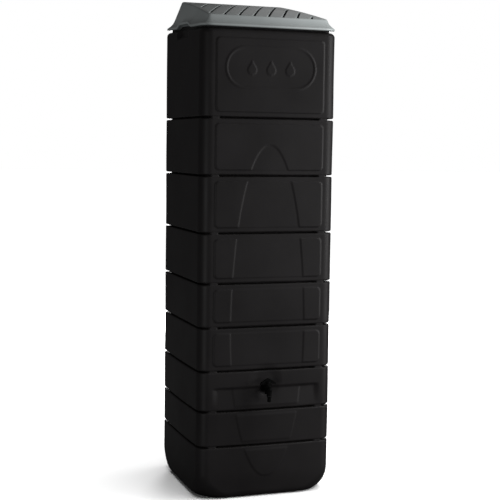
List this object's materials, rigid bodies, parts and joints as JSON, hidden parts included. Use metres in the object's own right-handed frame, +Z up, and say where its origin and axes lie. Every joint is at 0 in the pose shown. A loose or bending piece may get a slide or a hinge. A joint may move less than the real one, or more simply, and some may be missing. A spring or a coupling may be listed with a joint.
{
  "type": "rain barrel",
  "caption": "Tall square ribbed plastic rain barrel with rounded corners, lift-off sloping slotted lid, quarter-turn front tap, side inlet, drain plug and wall brackets.",
  "frame": {"origin": "centre of the flat underside, on the floor", "axes": "+Z up, +X to the right seen from the front, the tap faces -Y"},
  "size_m": [0.643, 0.6815, 2.1379],
  "materials": {
    "black_tank": "satin, very fine moulded grain",
    "grey_lid": "satin moulded",
    "tap_plastic": "fine moulded grain",
    "plug_plastic": "smooth",
    "frame_plastic": "moulded",
    "brass": "machined",
    "bracket_steel": "zinc plated and passivated",
    "fastener_steel": "machined stainless",
    "screen_mesh": "woven wire",
    "rubber": "matte"
  },
  "bodies": {
    "tank": {"tank_body": "black_tank", "tap_bush": "brass", "drain_bush": "brass", "bracket_inserts": "brass", "wall_brackets": "bracket_steel", "bracket_washers": "fastener_steel", "bracket_bolts": "fastener_steel", "tap_seal": "rubber", "tap_body": "tap_plastic", "plug_gland": "tap_plastic", "outlet_seal": "rubber", "hose_tail": "tap_plastic", "drain_seal": "rubber", "inlet_gasket": "rubber", "inlet_spigot": "tap_plastic", "inlet_nut": "tap_plastic"},
    "lid": {"lid_shell": "grey_lid", "insect_screen": "screen_mesh", "screen_frame": "frame_plastic", "screen_screws": "fastener_steel"},
    "tap_valve": {"tap_plug": "plug_plastic", "plug_seals": "rubber", "tap_handle": "tap_plastic", "handle_screw": "fastener_steel"},
    "drain_valve": {"drain_plug": "tap_plastic"}
  },
  "joints": [
    {"name": "lid_lift", "type": "slide", "parent": "tank", "child": "lid", "axis": [0, -0.0436, 0.999], "range_m": [0, 0.3]},
    {"name": "tap_turn", "type": "hinge", "parent": "tank", "child": "tap_valve", "pos_m": [-0.006, -0.3335, 0.49], "axis": [0, 0, 1], "range_deg": [0, 90]},
    {"name": "drain_plug_turn", "type": "hinge", "parent": "tank", "child": "drain_valve", "pos_m": [0.3, 0, 0.075], "axis": [1, 0, 0], "continuous": true}
  ]
}
